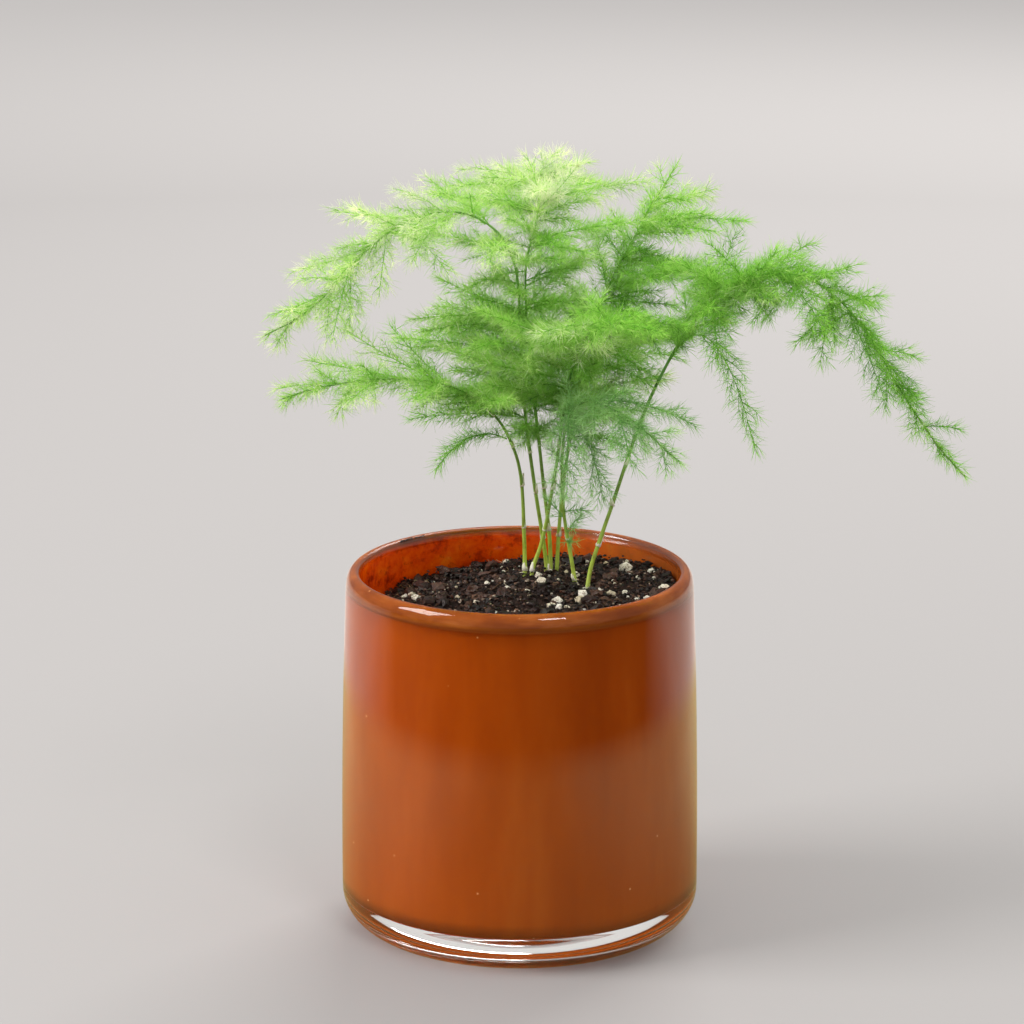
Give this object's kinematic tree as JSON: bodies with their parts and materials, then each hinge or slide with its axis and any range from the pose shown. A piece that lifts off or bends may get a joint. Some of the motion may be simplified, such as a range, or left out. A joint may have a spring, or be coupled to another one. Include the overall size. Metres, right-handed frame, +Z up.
{
  "type": "potted asparagus fern",
  "caption": "Asparagus fern with arching feathery fronds on wiry stems, growing from soil in a round amber glass pot with a clear casing and a thick clear foot.",
  "frame": {"origin": "middle of the flat underside of the pot's foot", "axes": "+Z up out of the pot; -Y the front, where the soil's low side is at -X and the long falling frond reaches to +X"},
  "size_m": [0.1974, 0.1203, 0.2162],
  "materials": {
    "clear_glass": "clear, glossy",
    "amber_glass": "opaque burnt-orange, glossy",
    "soil": "moist, crumbly, matt",
    "root": "fleshy, matt",
    "perlite": "porous, matt",
    "stem": "smooth, satin",
    "needles": "fine, soft"
  },
  "bodies": {
    "root": {"amber_lining": "amber_glass", "frond_1_spray_1": "needles", "frond_1_spray_2": "needles", "frond_1_spray_3": "needles", "frond_1_spray_4": "needles", "frond_1_spray_5": "needles", "frond_1_spray_6": "needles", "frond_1_spray_7": "needles", "frond_1_spray_8": "needles", "frond_2_spray_1": "needles", "frond_2_spray_2": "needles", "frond_2_spray_3": "needles", "frond_2_spray_4": "needles", "frond_2_spray_5": "needles", "frond_2_spray_6": "needles", "frond_2_spray_7": "needles", "frond_3_spray_1": "needles", "frond_3_spray_2": "needles", "frond_3_spray_3": "needles", "frond_3_spray_4": "needles", "frond_3_spray_5": "needles", "frond_3_spray_6": "needles", "frond_3_spray_7": "needles", "frond_3_spray_8": "needles", "frond_4_spray_1": "needles", "frond_4_spray_2": "needles", "frond_4_spray_3": "needles", "frond_4_spray_4": "needles", "frond_4_spray_5": "needles", "frond_4_spray_6": "needles", "frond_4_spray_7": "needles", "frond_5_spray_1": "needles", "frond_5_spray_2": "needles", "frond_5_spray_3": "needles", "frond_5_spray_4": "needles", "frond_5_spray_5": "needles", "frond_6_spray_1": "needles", "frond_6_spray_2": "needles", "frond_6_spray_3": "needles", "frond_6_spray_4": "needles", "frond_7_spray_1": "needles", "frond_7_spray_2": "needles", "frond_7_spray_3": "needles", "frond_7_spray_4": "needles", "frond_7_spray_5": "needles", "frond_7_spray_6": "needles", "frond_7_spray_7": "needles", "frond_7_spray_8": "needles", "glass_casing": "clear_glass", "perlite_grain_1": "perlite", "perlite_grain_2": "perlite", "potting_soil": "soil", "root_crown": "root", "stem_1": "stem", "stem_2": "stem", "stem_3": "stem", "stem_4": "stem", "stem_5": "stem", "stem_6": "stem", "stem_7": "stem"}
  },
  "joints": []
}
